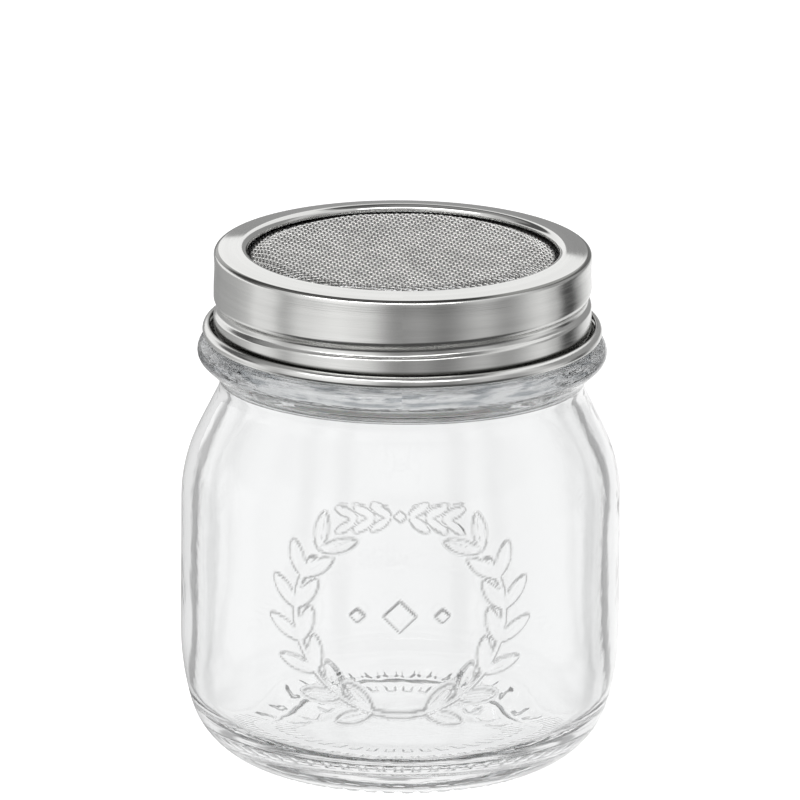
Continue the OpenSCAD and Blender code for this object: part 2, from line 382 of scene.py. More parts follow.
def mix_colours(tree, share, first, second):
    """Two colours mixed by a share."""
    node = add_node(tree, "ShaderNodeMix", data_type="RGBA")
    feed(tree, node.inputs["Factor"], share)
    feed(tree, node.inputs[6], first)
    feed(tree, node.inputs[7], second)
    return node.outputs[2]


def new_group(name, inputs, outputs):
    """An empty shader node group with float sockets, and its input and output nodes."""
    tree = bpy.data.node_groups.new(name, "ShaderNodeTree")
    for label, default in inputs:
        socket = tree.interface.new_socket(label, in_out="INPUT", socket_type="NodeSocketFloat")
        socket.default_value = default
    for label in outputs:
        tree.interface.new_socket(label, in_out="OUTPUT", socket_type="NodeSocketFloat")
    return tree, tree.nodes.new("NodeGroupInput"), tree.nodes.new("NodeGroupOutput")


def turned_lines_group():
    """Fine lines that run round the axis, as drawing and polishing leave on turned sheet."""
    name = "turned_lines"
    if name in bpy.data.node_groups:
        return bpy.data.node_groups[name]
    tree, given, result = new_group(name, [("Spacing", 0.3), ("Streak", 6.0)], ["Lines", "Streaks"])
    place = add_node(tree, "ShaderNodeTexCoord")
    parts = add_node(tree, "ShaderNodeSeparateXYZ")
    tree.links.new(place.outputs["Object"], parts.inputs[0])
    x, y, z = parts.outputs
    radius = calc(tree, "SQRT", calc(tree, "ADD", calc(tree, "MULTIPLY", x, x), calc(tree, "MULTIPLY", y, y)))
    angle = calc(tree, "ARCTAN2", x, y)
    across = calc(tree, "DIVIDE", 1 / MM, given.outputs["Spacing"])
    joined = add_node(tree, "ShaderNodeCombineXYZ")
    feed(tree, joined.inputs[0], calc(tree, "MULTIPLY", radius, across))
    feed(tree, joined.inputs[1], calc(tree, "MULTIPLY", z, across))
    feed(tree, joined.inputs[2], calc(tree, "MULTIPLY", angle, given.outputs["Streak"]))
    fine = add_node(tree, "ShaderNodeTexNoise", noise_dimensions="3D")
    fine.inputs["Scale"].default_value = 1
    fine.inputs["Detail"].default_value = 2
    tree.links.new(joined.outputs[0], fine.inputs["Vector"])
    broad = add_node(tree, "ShaderNodeTexNoise", noise_dimensions="3D")
    broad.inputs["Scale"].default_value = 0.12
    broad.inputs["Detail"].default_value = 3
    tree.links.new(joined.outputs[0], broad.inputs["Vector"])
    tree.links.new(fine.outputs[0], result.inputs["Lines"])
    tree.links.new(broad.outputs[0], result.inputs["Streaks"])
    return tree


def mottle_group():
    """Soft uneven patches, for handling marks, tarnish and clouding."""
    name = "mottle"
    if name in bpy.data.node_groups:
        return bpy.data.node_groups[name]
    tree, given, result = new_group(name, [("Patch", 8.0), ("Low", 0.35), ("High", 0.65)], ["Mask", "Height"])
    place = add_node(tree, "ShaderNodeTexCoord")
    noise = add_node(tree, "ShaderNodeTexNoise", noise_dimensions="3D")
    noise.inputs["Detail"].default_value = 3
    tree.links.new(place.outputs["Object"], noise.inputs["Vector"])
    feed(tree, noise.inputs["Scale"], calc(tree, "DIVIDE", 1 / MM, given.outputs["Patch"]))
    mask = ease(tree, noise.outputs[0], given.outputs["Low"], given.outputs["High"])
    tree.links.new(mask, result.inputs["Mask"])
    tree.links.new(noise.outputs[0], result.inputs["Height"])
    return tree


def place_group(tree, group, **values):
    """Put a shared effect in a material with its own values."""
    node = add_node(tree, "ShaderNodeGroup", node_tree=group)
    for name, value in values.items():
        node.inputs[name].default_value = value
    return node


def new_material(name):
    """An empty material with a Principled BSDF, and its tree."""
    material = bpy.data.materials.new(name)
    material.use_nodes = True
    tree = material.node_tree
    tree.nodes.clear()
    output = add_node(tree, "ShaderNodeOutputMaterial")
    shader = add_node(tree, "ShaderNodeBsdfPrincipled")
    tree.links.new(shader.outputs[0], output.inputs["Surface"])
    return material, tree, shader, output


def bump(tree, height, strength, distance, shader):
    """Raise and lower the surface's shading by a height."""
    node = add_node(tree, "ShaderNodeBump")
    node.inputs["Strength"].default_value = strength
    node.inputs["Distance"].default_value = distance
    tree.links.new(height, node.inputs["Height"])
    tree.links.new(node.outputs[0], shader.inputs["Normal"])


# The attribute that tells the glass where the ornament's sides are steep, where it gets painted shade
FLANK = "relief_flank"


def glass_material(settings):
    """Clear pressed glass, greyer and streaky on its bead, with painted shade on the ornament's steep sides. It lets
    lamplight through to what stands behind.
    """
    material, tree, shader, output = new_material("clear_glass")
    tint = (*settings.tint, 1)
    shader.inputs["Metallic"].default_value = 0
    shader.inputs["IOR"].default_value = settings.ior
    shader.inputs["Transmission Weight"].default_value = 1
    place = add_node(tree, "ShaderNodeTexCoord")
    parts = add_node(tree, "ShaderNodeSeparateXYZ")
    tree.links.new(place.outputs["Object"], parts.inputs[0])
    x, y, z = parts.outputs
    radius = calc(tree, "SQRT", calc(tree, "ADD", calc(tree, "MULTIPLY", x, x), calc(tree, "MULTIPLY", y, y)))
    low = ease(tree, z, (BEAD_Z - 1.2) * MM, (BEAD_Z + 0.2) * MM)
    high = ease(tree, z, (BEAD_Z + 3) * MM, (BEAD_Z + 4.5) * MM, 1.0, 0.0)
    outside = ease(tree, radius, 35.2 * MM, 36.2 * MM)
    bead = calc(tree, "MULTIPLY", calc(tree, "MULTIPLY", low, high), outside)
    streaks = place_group(tree, turned_lines_group(), Spacing=0.9, Streak=7.0)
    patches = place_group(tree, mottle_group(), Patch=14.0, Low=0.5, High=0.75)
    cloudy = calc(tree, "MULTIPLY", bead, ease(tree, streaks.outputs["Lines"], 0.35, 0.6, 1.0, 0.62))
    # Painted shade: the ornament's steep sides are coloured dark, standing in for the lines that refraction draws
    # there
    flanks = add_node(tree, "ShaderNodeAttribute", attribute_name=FLANK)
    beaded = mix_colours(tree, cloudy, tint, (*settings.bead_tint, 1))
    flank_shaded = mix_colours(tree, flanks.outputs["Fac"], beaded, (*settings.flank_shade, 1))
    tree.links.new(flank_shaded, shader.inputs["Base Color"])
    clouding = ease(tree, patches.outputs["Mask"], 0, 1, 0.0, 0.02)
    streaked = calc(tree, "MULTIPLY", bead, ease(tree, streaks.outputs["Lines"], 0.4, 0.7, 0.03, 0.2))
    tree.links.new(calc(tree, "ADD", clouding, streaked), shader.inputs["Roughness"])
    uneven = calc(tree, "MULTIPLY", patches.outputs["Height"], 0.25)
    ridged = calc(tree, "MULTIPLY", bead, streaks.outputs["Lines"])
    bump(tree, calc(tree, "ADD", uneven, ridged), 0.35, 1 * MM, shader)
    clear = add_node(tree, "ShaderNodeBsdfTransparent")
    clear.inputs[0].default_value = tint
    path = add_node(tree, "ShaderNodeLightPath")
    mix = add_node(tree, "ShaderNodeMixShader")
    tree.links.new(path.outputs["Is Shadow Ray"], mix.inputs[0])
    tree.links.new(shader.outputs[0], mix.inputs[1])
    tree.links.new(clear.outputs[0], mix.inputs[2])
    tree.links.new(mix.outputs[0], output.inputs["Surface"])
    return material


# The attribute that tells pressed steel which side of the sheet is the inner one
INNER = "inner_side"


def steel_material(name, settings, spacing, depth):
    """Satin steel with fine lines round the axis, smoother on the sheet's inner side, with painted light that
    brightens the inner side and painted shade in the crease over the curl and along the corner.
    """
    material, tree, shader, _ = new_material(name)
    lines = place_group(tree, turned_lines_group(), Spacing=spacing, Streak=3.0)
    marks = place_group(tree, mottle_group(), Patch=9.0, Low=0.45, High=0.8)
    darker = tuple(channel * 0.93 for channel in settings.steel)
    colour = mix_colours(tree, ease(tree, lines.outputs["Streaks"], 0.35, 0.65), (*darker, 1),
                         (*settings.steel, 1))
    place = add_node(tree, "ShaderNodeTexCoord")
    parts = add_node(tree, "ShaderNodeSeparateXYZ")
    tree.links.new(place.outputs["Object"], parts.inputs[0])
    x, y, z = parts.outputs
    radius = calc(tree, "SQRT", calc(tree, "ADD", calc(tree, "MULTIPLY", x, x), calc(tree, "MULTIPLY", y, y)))
    # Painted shade: the skirt is coloured dark just over the curl, where shade falls, and along the corner's edge as a
    # painted dark reflection line
    skirt = ease(tree, radius, 37.0 * MM, 37.4 * MM, 1.0, 0.0)
    crease_shade = calc(tree, "MULTIPLY", skirt, ease(tree, z, (CURL_Z + 1.5) * MM, (CURL_Z + 2.1) * MM, 1.0, 0.0))
    corner = calc(tree, "MULTIPLY", ease(tree, radius, 35.05 * MM, 35.2 * MM),
                  ease(tree, z, (LID_TOP - 1.03) * MM, (LID_TOP - 0.95) * MM))
    crease_shaded = mix_colours(tree, calc(tree, "MAXIMUM", crease_shade, corner), colour, (*settings.crease_shade, 1))
    # Painted light: on the inner side the colour goes to the bright inner colour, standing in for light inside the cap
    inner = add_node(tree, "ShaderNodeAttribute", attribute_name=INNER)
    tree.links.new(mix_colours(tree, inner.outputs["Fac"], crease_shaded, (*settings.inner, 1)), shader.inputs["Base Color"])
    shader.inputs["Metallic"].default_value = 1
    lined = ease(tree, lines.outputs["Lines"], 0.3, 0.7, settings.roughness * 0.8, settings.roughness * 1.25)
    marked = calc(tree, "ADD", lined, calc(tree, "MULTIPLY", marks.outputs["Mask"], 0.05))
    polish = ease(tree, z, (LID_TOP - 0.9) * MM, (LID_TOP - 0.5) * MM, 1.0, 0.4)
    polished = calc(tree, "MULTIPLY", marked, polish)
    tree.links.new(mix_values(tree, inner.outputs["Fac"], polished, 0.12), shader.inputs["Roughness"])
    plain = ease(tree, z, (LID_TOP - 1.9) * MM, (LID_TOP - 1.6) * MM, 1.0, 0.0)
    bump(tree, calc(tree, "MULTIPLY", calc(tree, "SUBTRACT", lines.outputs["Lines"], 0.5), plain), depth,
         0.05 * MM, shader)
    return material


# The attribute that tells the wire how high it is in the weave: 1 on top of it, -1 underneath
LEVEL = "weave_level"


def wire_material(settings):
    """Bright drawn wire, a little duller in patches, with painted shade that darkens it deep between the others and at
    the cloth's edge under the lip.
    """
    material, tree, shader, _ = new_material("sieve_wire")
    patches = place_group(tree, mottle_group(), Patch=4.0, Low=0.35, High=0.7)
    dull = tuple(channel * 0.9 for channel in settings.colour)
    level = add_node(tree, "ShaderNodeAttribute", attribute_name=LEVEL)
    # Painted shade: where the wire goes down between the others it takes the dark crossing colour
    above = ease(tree, level.outputs["Fac"], -0.15, 0.65)
    below = ease(tree, level.outputs["Fac"], -0.9, -0.6, 1.0, 0.0)
    place = add_node(tree, "ShaderNodeTexCoord")
    parts = add_node(tree, "ShaderNodeSeparateXYZ")
    tree.links.new(place.outputs["Object"], parts.inputs[0])
    x, y, z = parts.outputs
    radius = calc(tree, "SQRT", calc(tree, "ADD", calc(tree, "MULTIPLY", x, x), calc(tree, "MULTIPLY", y, y)))
    # Painted shade: near the cloth's edge, under the lip, the wire is coloured almost black
    middle = ease(tree, radius, 28.3 * MM, 29.1 * MM, 1.0, 0.0)
    edge = tuple(channel * 0.15 for channel in settings.crossing_shade)
    deep = mix_colours(tree, middle, (*edge, 1), (*settings.crossing_shade, 1))
    top = calc(tree, "MULTIPLY", middle, calc(tree, "MAXIMUM", above, below))
    polished = mix_colours(tree, patches.outputs["Mask"], (*settings.colour, 1), (*dull, 1))
    tree.links.new(mix_colours(tree, top, deep, polished), shader.inputs["Base Color"])
    shader.inputs["Metallic"].default_value = 1
    tree.links.new(ease(tree, patches.outputs["Mask"], 0, 1, settings.roughness, settings.roughness + 0.12),
                   shader.inputs["Roughness"])
    return material


def seal_material(settings):
    """Milky silicone with a soft bloom."""
    material, tree, shader, _ = new_material("milky_silicone")
    patches = place_group(tree, mottle_group(), Patch=3.0, Low=0.3, High=0.7)
    cloudy = tuple(channel * 0.95 for channel in settings.colour)
    tree.links.new(mix_colours(tree, patches.outputs["Mask"], (*settings.colour, 1), (*cloudy, 1)),
                   shader.inputs["Base Color"])
    tree.links.new(ease(tree, patches.outputs["Mask"], 0, 1, 0.4, 0.55), shader.inputs["Roughness"])
    shader.inputs["Subsurface Weight"].default_value = 0.2
    shader.inputs["Subsurface Scale"].default_value = 1 * MM
    bump(tree, patches.outputs["Height"], 0.15, 0.1 * MM, shader)
    return material


# The glass jar's outline and ornament

# Thread of the glass neck and the lid's rolled thread
PITCH = 4.5
ROLL_Z = CURL_Z + 5.2
GLASS_THREAD_Z = ROLL_Z + 1.84
# The CAD measures its angles from the right, a quarter turn behind the front.
FRONT = 270


def thread_height(angle, height, start, sweep, front_z, above, below, crest):
    """How fully a thread stands at a point: 1 on its crest, 0 as far above or below as its sides reach."""
    best = 0.0
    seen = math.degrees(angle) + FRONT - 360
    for turn in (seen, seen + 360, seen + 720):
        travelled = turn - start
        if 0 <= travelled <= sweep:
            middle = front_z + PITCH * (turn - FRONT) / 360
            fade = smooth(min(travelled, sweep - travelled), 0, 28)
            reach = above if height > middle else below
            best = max(best, fade * (1 - smooth(abs(height - middle), crest / 2, reach)))
    return best


def leaf_height(along, across, length, width):
    """Share of the full height on a leaf that runs from its stalk along one axis."""
    if not 0 < along < length:
        return 0.0
    radius = (length * length + width * width) / (4 * width)
    half = math.sqrt(radius ** 2 - (along - length / 2) ** 2) - (radius - width / 2)
    if abs(across) >= half:
        return 0.0
    dome = math.sqrt(1 - (across / half) ** 2)
    vein = 0.35 * (1 - smooth(abs(across), 0.15, 0.5)) * smooth(half, 0.5, 1.1)
    return dome * min(1.0, half / 0.7) * (1 - vein)


def ridge_height(distance, width):
    """Share of the full height on a rounded line."""
    half = width / 2
    if distance >= half:
        return 0.0
    return math.sqrt(1 - (distance / half) ** 2)


def diamond_height(x, z, size):
    """Share of the full height on a diamond with a rounded edge, given its side."""
    inside = size / math.sqrt(2) - abs(x) - abs(z)
    return smooth(inside, 0, 0.8)


WREATH_R = 19.5
WREATH_Z = 39
SPRIG_Z = 33
LEAF_LENGTH = 8
LEAF_WIDTH = 2.9
LEAF_SPREAD = 32
STEM_WIDTH = 1.3
STEM_REACH = 1.55 * WREATH_R
DIAMONDS = ((-8, 2.6), (0, 5), (8, 2.6))


def wreath_leaves():
    """Stalk point and direction of each leaf on the right half of the wreath."""
    leaves = []
    for i in range(7):
        station = math.radians(-76 + 19 * i)
        for lean in (-LEAF_SPREAD, LEAF_SPREAD):
            leaves.append((WREATH_R * math.cos(station), WREATH_R * math.sin(station),
                           station + math.radians(90 + lean)))
    return leaves


def sprig_leaves():
    """Stalk point and direction of each leaf on the right half of the sprig."""
    return [(1.5 + 3.6 * i, 0, math.radians(lean)) for i in range(3) for lean in (-LEAF_SPREAD, LEAF_SPREAD)]


def leaves_height(x, z, leaves, length, width):
    """The highest of several leaves at a point."""
    best = 0.0
    for stalk_x, stalk_z, direction in leaves:
        dx = x - stalk_x
        dz = z - stalk_z
        if dx * dx + dz * dz < length * length:
            along = dx * math.cos(direction) + dz * math.sin(direction)
            across = dz * math.cos(direction) - dx * math.sin(direction)
            best = max(best, leaf_height(along, across, length, width))
    return best


def wreath_height(x, z, leaves):
    """Share of the full height at a point of the wreath, measured from its middle."""
    best = leaves_height(abs(x), z, leaves, LEAF_LENGTH, LEAF_WIDTH)
    top = STEM_REACH - WREATH_R
    if z < top:
        best = max(best, ridge_height(abs(math.hypot(x, z) - WREATH_R), STEM_WIDTH))
    for place, size in DIAMONDS:
        best = max(best, diamond_height(x - place, z, size))
    return best


def sprig_height(x, z, leaves):
    """Share of the full height at a point of the sprig, measured from its middle."""
    best = leaves_height(abs(x), z, leaves, 0.75 * LEAF_LENGTH, 0.8 * LEAF_WIDTH)
    return max(best, diamond_height(x, z, 2.6))


class JarShape:
    """The glass jar's outline from the middle of its underside, up the outside and down the inside."""

    columns = 168
    heel_radius = 15
    foot_width = 2.8
    punt = 0.8
    punt_edge = 0.4
    floor_z = 6.7
    dash_ring = (19.6, 23.4)
    dash_height = 0.3

    def __init__(self, settings):
        self.grooves = settings.foot_grooves
        self.relief = settings.relief / MM
        self.body_r = settings.body_radius / MM
        self.wreath = wreath_leaves()
        self.sprig = sprig_leaves()
        self.flanks = []
        legs = self.outline_legs(settings.wall / MM, settings.bore_radius / MM)
        self.rows = sum(steps for _, (_, steps) in legs)
        self.points, self.names = leg_points(legs, REFINE)

    def outline_legs(self, wall, bore_r):
        """The outline's named legs, in order."""
        body_r = self.body_r
        neck_r = bore_r + 2.8
        bead_r = neck_r + 4.85
        waist_r = bore_r + wall
        side_c = (body_r - 50, 24)
        side_turn = math.radians(16)
        heel_c = (side_c[0] + 35 * math.cos(side_turn), side_c[1] - 35 * math.sin(side_turn))
        heel_turn = math.degrees(math.asin(heel_c[1] / 15))
        foot_r = heel_c[0] + math.sqrt(15 ** 2 - heel_c[1] ** 2)
        self.heel_c = heel_c
        foot_in_r = foot_r - self.foot_width
        punt_r = foot_in_r - 2
        shoulder_c = (body_r - 30, 50)
        waist_c = (waist_r + 4.3, BEAD_Z - 6.5)
        low_c = (bead_r - 1.8, BEAD_Z)
        high_c = (bead_r - 2.5, BEAD_Z)
        inner_heel_c = (body_r - wall - 9, self.floor_z - 0.5 + 9)

        def at(centre, radius, degrees):
            return arc(centre, radius, degrees, degrees, 1)[0](0)

        def under(share):
            return punt_r * share, self.punt - (self.punt - self.punt_edge) * share * share

        def floor(share):
            start = at(inner_heel_c, 9, -82)
            rise = smooth(share, 0, 1)
            return start[0] * (1 - share), start[1] + (self.floor_z - start[1]) * rise

        return [
            ("under", (under, 16)),
            ("edge", line((punt_r, self.punt_edge), (foot_in_r, 0), 2)),
            ("foot", line((foot_in_r, 0), (foot_r, 0), 2)),
            ("heel", arc(heel_c, 15, -heel_turn, -16, 10)),
            ("side", arc(side_c, 50, -16, 0, 9)),
            ("wall", line((body_r, 24), (body_r, 50), 17)),
            ("shoulder", arc(shoulder_c, 30, 0, 26, 9)),
            ("cone", line(at(shoulder_c, 30, 26), at(waist_c, 4.3, 206), 5)),
            ("waist", arc(waist_c, 4.3, 206, 122, 8)),
            ("waist", line(at(waist_c, 4.3, 122), at(low_c, 1.8, -52), 2)),
            ("bead", arc(low_c, 1.8, -52, 0, 4)),
            ("bead", arc(high_c, 2.5, 0, 80, 6)),
            ("bead", line(at(high_c, 2.5, 80), (neck_r, BEAD_Z + 2.8), 3)),
            ("neck", line((neck_r, BEAD_Z + 2.8), (neck_r, RIM_Z - 0.9), 36)),
            ("rim", arc((neck_r - 0.9, RIM_Z - 0.9), 0.9, 0, 90, 4)),
            ("rim", line((neck_r - 0.9, RIM_Z), (bore_r + 0.9, RIM_Z), 1)),
            ("rim", arc((bore_r + 0.9, RIM_Z - 0.9), 0.9, 90, 180, 4)),
            ("bore", line((bore_r, RIM_Z - 0.9), at(waist_c, 4.3 + wall, 180), 12)),
            ("inside", arc(waist_c, 4.3 + wall, 180, 206, 4)),
            ("inside", line(at(waist_c, 4.3 + wall, 206), at(shoulder_c, 30 - wall, 26), 5)),
            ("inside", arc(shoulder_c, 30 - wall, 26, 0, 8)),
            ("inside", line((body_r - wall, 50), (body_r - wall, inner_heel_c[1]), 20)),
            ("inside", arc(inner_heel_c, 9, 0, -82, 12)),
            ("floor", (floor, 16)),
        ]

    def front_x(self, angle):
        """How far a wall point lies to the right of the front, and whether it is on the front half."""
        return self.body_r * math.sin(angle), math.cos(angle) > 0

    def refined(self, column, row):
        """Whether a cell carries ornament or grooves."""
        fine = row * REFINE + REFINE // 2
        name = self.names[fine]
        radius, height = self.points[fine]
        x, front = self.front_x(TAU * (column + 0.5) / self.columns)
        if name in ("side", "wall", "shoulder"):
            if front:
                return abs(x) < 27 and 17 < height < 61
            return abs(x) < 15 and 27.5 < height < 38.5
        if name == "under":
            return self.dash_ring[0] - 0.8 < radius < self.dash_ring[1] + 0.8
        return name == "foot" or (name == "heel" and radius < foot_reach(self))

    def place(self, column, row):
        """The point at a fine column and row, with its ornament."""
        radius, height = self.points[row]
        name = self.names[row]
        angle = TAU * column / (self.columns * REFINE)
        self.flanks.append(0.0)
        if name in ("side", "wall", "shoulder"):
            self.flanks[-1] = self.flank(angle, height)
            radius += self.relief * self.ornament(angle, height)
        elif name == "under":
            height -= self.dash_height * self.dashes(angle, radius)
        elif name == "foot":
            height = max(height, self.groove(angle, radius))
        elif name == "heel":
            sunk = max(0.0, self.groove(angle, radius)) * (1 - smooth(height, 0.3, 1.6))
            share = 1 - sunk / self.heel_radius
            radius = self.heel_c[0] + (radius - self.heel_c[0]) * share
            height = self.heel_c[1] + (height - self.heel_c[1]) * share
        elif name == "neck":
            radius += 1.05 * thread_height(angle, height, -30, 450, GLASS_THREAD_Z, 1.3, 1.3, 1)
        elif name == "inside":
            radius += self.wave(angle, height)
        return around(radius, angle, height)

    def ornament(self, angle, height):
        """Share of the full relief on the outer wall."""
        x, front = self.front_x(angle)
        if front and abs(x) < 27 and 16 < height < 62:
            return wreath_height(x, height - WREATH_Z, self.wreath)
        if not front and abs(x) < 15 and 27 < height < 39:
            return sprig_height(-x, height - SPRIG_Z, self.sprig)
        return 0.0

    def flank(self, angle, height):
        """How steep the side of the ornament is at a point of the wall: 0 on the flat, 1 on a steep side."""
        step = 0.3
        turn = step / self.body_r
        across = self.ornament(angle + turn, height) - self.ornament(angle - turn, height)
        upward = self.ornament(angle, height + step) - self.ornament(angle, height - step)
        return smooth(self.relief * math.hypot(across, upward) / (2 * step), 0.22, 0.75)

    def dashes(self, angle, radius):
        """Share of the full height on a ring of plain short bars under the base."""
        low, high = self.dash_ring
        across = smooth(min(radius - low, high - radius), 0, 0.6)
        share = angle / TAU * 40 % 1
        return across * smooth(0.5 - abs(share - 0.5), 0.2, 0.34)

    def groove(self, angle, radius):
        """Height of the grip grooves' surface at a point of the foot."""
        share = angle / TAU * self.grooves % 1
        aside = min(share, 1 - share) * TAU / self.grooves * radius
        plain = self.points_foot_start() + 0.8
        if aside >= 1 or radius < plain:
            return -1.0
        return math.sqrt(1 - aside * aside) - 0.5

    def points_foot_start(self):
        """Inner radius of the foot."""
        return self.points[self.names.index("foot")][0]

    def wave(self, angle, height):
        """Slight unevenness of the blown inside."""
        slow = math.sin(3 * angle + 0.07 * height) * math.sin(0.11 * height + 1.3)
        quick = math.sin(7 * angle - 0.05 * height + 2) * math.sin(0.19 * height)
        return 0.04 * slow + 0.02 * quick


def foot_reach(shape):
    """Radius up to which the grip grooves run on the heel."""
    return shape.points[shape.names.index("heel")][0] + 5


class SPICEJAR_OT_glass_jar(bpy.types.Operator):
    """Build the pressed glass jar"""

    bl_idname = "spicejar.glass_jar"
    bl_label = "Glass jar"

    def execute(self, context):
        settings = context.scene.spice_jar.glass
        shape = JarShape(settings)
        points, faces = lattice(shape.columns, shape.rows, shape.place, shape.refined)
        piece = finish_mesh("glass_jar", points, faces, "jar", ["jar"], glass_material(settings))
        piece.data.attributes.new(FLANK, "FLOAT", "POINT").data.foreach_set("value", shape.flanks)
        return {"FINISHED"}


def lid_path(settings):
    """The middle line of the cap's sheet, from the curl's free edge up the skirt to the end of the lip."""
    half = settings.sheet / MM / 2
    mid_r = settings.skirt_radius / MM - half
    opening_r = settings.skirt_radius / MM - settings.ring_width / MM
    fall = settings.ring_fall / MM
    top = LID_TOP - half
    curl_c = (mid_r - half + 1.25, CURL_Z)
    corner_c = (mid_r - 0.8, top - 0.8 - fall)
    lip_c = (opening_r + 1.2, top - 1)

    def skirt(share):
        height = CURL_Z + (corner_c[1] - CURL_Z) * share
        drop = LID_TOP - height
        nip = 0.12 * smooth(drop, 1, 4) * (1 - smooth(drop, 4, 8))
        return mid_r - nip, height

    def ring(share):
        return corner_c[0] + (lip_c[0] - corner_c[0]) * share, top - fall * (1 - share)

    legs = [
        ("curl", arc(curl_c, 1.25 - half, 448, 180, 28)),
        ("skirt", (skirt, 74)),
        ("corner", arc(corner_c, 0.8, 0, 90, 9)),
        ("ring", (ring, 10)),
        ("lip", arc(lip_c, 1, 90, 180, 9)),
        ("lip", line((lip_c[0] - 1, lip_c[1]), (lip_c[0] - 1, lip_c[1] - 0.3 + half), 2)),
    ]
    return leg_points(legs)[0]


class SPICEJAR_OT_lid_shell(bpy.types.Operator):
    """Build the pressed steel cap with its lip, rolled thread and curl"""

    bl_idname = "spicejar.lid_shell"
    bl_label = "Lid shell"

    def execute(self, context):
        settings = context.scene.spice_jar.lid
        depth = settings.roll_depth / MM
        skirt_low = CURL_Z + 0.4

        def roll(angle, height):
            if not skirt_low < height < LID_TOP - 3:
                return 0.0
            return -depth * thread_height(angle, height, 150, 350, ROLL_Z, 2.4, 1.2, 0.4)

        outline = sheet_outline(lid_path(settings), settings.sheet / MM)
        points, faces = lathe(outline, 288, roll)
        material = steel_material("satin_steel", settings, 0.22, 0.35)
        piece = finish_mesh("lid_cap", points, faces, "lid", ["lid_shell"], material)
        # Painted light: the cap's inner side above the curl takes the bright inner colour
        mark_inner_side(piece, outline, 288)
        return {"FINISHED"}


class SPICEJAR_OT_clamp_ring(bpy.types.Operator):
    """Build the pressed ring that holds the sieve in the cap"""

    bl_idname = "spicejar.clamp_ring"
    bl_label = "Clamp ring"

    def execute(self, context):
        settings = context.scene.spice_jar.lid
        low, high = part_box("mesh_ring")
        half = 0.25
        outer_r = high.x / MM - half
        inner_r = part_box("mesh_ring")[1].x / MM - 5.1
        bend = 0.6
        base_z = low.z / MM + half
        # The cap's ring falls towards its corner, just over the clamp's upright edge.
        top_z = high.z / MM - half - settings.ring_fall / MM - 0.05
        legs = [
            ("upright", line((outer_r, top_z), (outer_r, base_z + bend), 4)),
            ("bend", arc((outer_r - bend, base_z + bend), bend, 0, -90, 7)),
            ("flat", line((outer_r - bend, base_z), (inner_r + half, base_z), 6)),
        ]
        path = leg_points(legs)[0][::-1]
        outline = sheet_outline(path, 2 * half)
        points, faces = lathe(outline, 168)
        material = steel_material("clamp_steel", settings, 0.4, 0.2)
        piece = finish_mesh("sieve_clamp", points, faces, "lid", ["mesh_ring"], material)
        # Painted light: the whole clamp takes the bright inner colour, as well as the inner side's smoother roughness
        mark_inner_side(piece, outline, 168, whole=True)
        return {"FINISHED"}


class ClothShape:
    """The domed surface that the sieve's wires are woven along."""

    reach = 32.6
    crown_rise = 1.2

    def __init__(self, settings, opening_r):
        self.pitch = settings.pitch / MM
        self.wire_r = settings.wire / MM / 2
        self.swing = self.wire_r * 0.99
        self.crown_r = opening_r - 4.6
        self.foot_r = opening_r - 0.9
        self.base_z = CLOTH_Z + 2 * self.wire_r
        self.draw = random.Random(11)

    def height(self, x, y):
        """Height of the cloth's middle surface."""
        radius = math.hypot(x, y)
        crown = 1 - smooth(radius, self.crown_r, self.foot_r)
        uneven = 0.07 * math.sin(0.17 * x + 0.4) * math.cos(0.21 * y - 0.3) + 0.04 * math.sin(0.33 * (x + y))
        return self.base_z + crown * (self.crown_rise + uneven)

    def wires(self, along_x):
        """Points and faces of all wires that run one way, and how high each point is in the weave."""
        points = []
        faces = []
        levels = []
        count = int(self.reach / self.pitch)
        for k in range(-count, count + 1):
            aside = k * self.pitch + self.draw.uniform(-0.006, 0.006)
            half = math.sqrt(max(0.0, self.reach ** 2 - aside ** 2))
            self.wire(points, faces, levels, aside, half, k, along_x)
        return points, faces, levels

    def wire(self, points, faces, levels, aside, half, k, along_x):
        """One wire, over and under the wires that cross it."""
        step = self.pitch / 4
        sides = 5
        ends = int(half / step)
        side = (1 if along_x else -1) * (1 if k % 2 == 0 else -1)
        first = len(points)
        for i in range(-ends, ends + 1):
            along = i * step
            phase = math.pi * along / self.pitch
            x, y = (along, aside) if along_x else (aside, along)
            surface = self.height(x, y)
            middle = surface + side * self.swing * math.cos(phase)
            slope = -side * self.swing * math.pi / self.pitch * math.sin(phase)
            length = math.hypot(1, slope)
            for corner in range(sides):
                turn = TAU * corner / sides + math.pi / 2
                out = self.wire_r * math.cos(turn)
                up = self.wire_r * math.sin(turn)
                shift = -up * slope / length
                z = middle + up / length
                levels.append((z - surface) / (self.swing + self.wire_r))
                if along_x:
                    points.append((x + shift, y + out, z))
                else:
                    points.append((x + out, y + shift, z))
        order = 1 if along_x else -1
        rings = 2 * ends + 1
        for i in range(rings - 1):
            for corner in range(sides):
                here = first + i * sides + corner
                beside = first + i * sides + (corner + 1) % sides
                faces.append((here, beside, beside + sides, here + sides)[::order])
        start = [first + corner for corner in range(sides)]
        end = [first + (rings - 1) * sides + corner for corner in range(sides)]
        faces.append(tuple(start[::-order]))
        faces.append(tuple(end[::order]))


class SPICEJAR_OT_wire_cloth(bpy.types.Operator):
    """Weave the sieve's wires in both directions"""

    bl_idname = "spicejar.wire_cloth"
    bl_label = "Wire sieve"

    def execute(self, context):
        settings = context.scene.spice_jar.cloth
        lid = context.scene.spice_jar.lid
        shape = ClothShape(settings, (lid.skirt_radius - lid.ring_width) / MM)
        material = wire_material(settings)
        cosine = math.cos(settings.turn)
        sine = math.sin(settings.turn)
        for name, along_x in (("sieve_warp", True), ("sieve_weft", False)):
            points, faces, levels = shape.wires(along_x)
            turned = [(x * cosine - y * sine, x * sine + y * cosine, z) for x, y, z in points]
            piece = finish_mesh(name, turned, faces, "lid", ["mesh"], material)
            piece.data.attributes.new(LEVEL, "FLOAT", "POINT").data.foreach_set("value", levels)
        return {"FINISHED"}


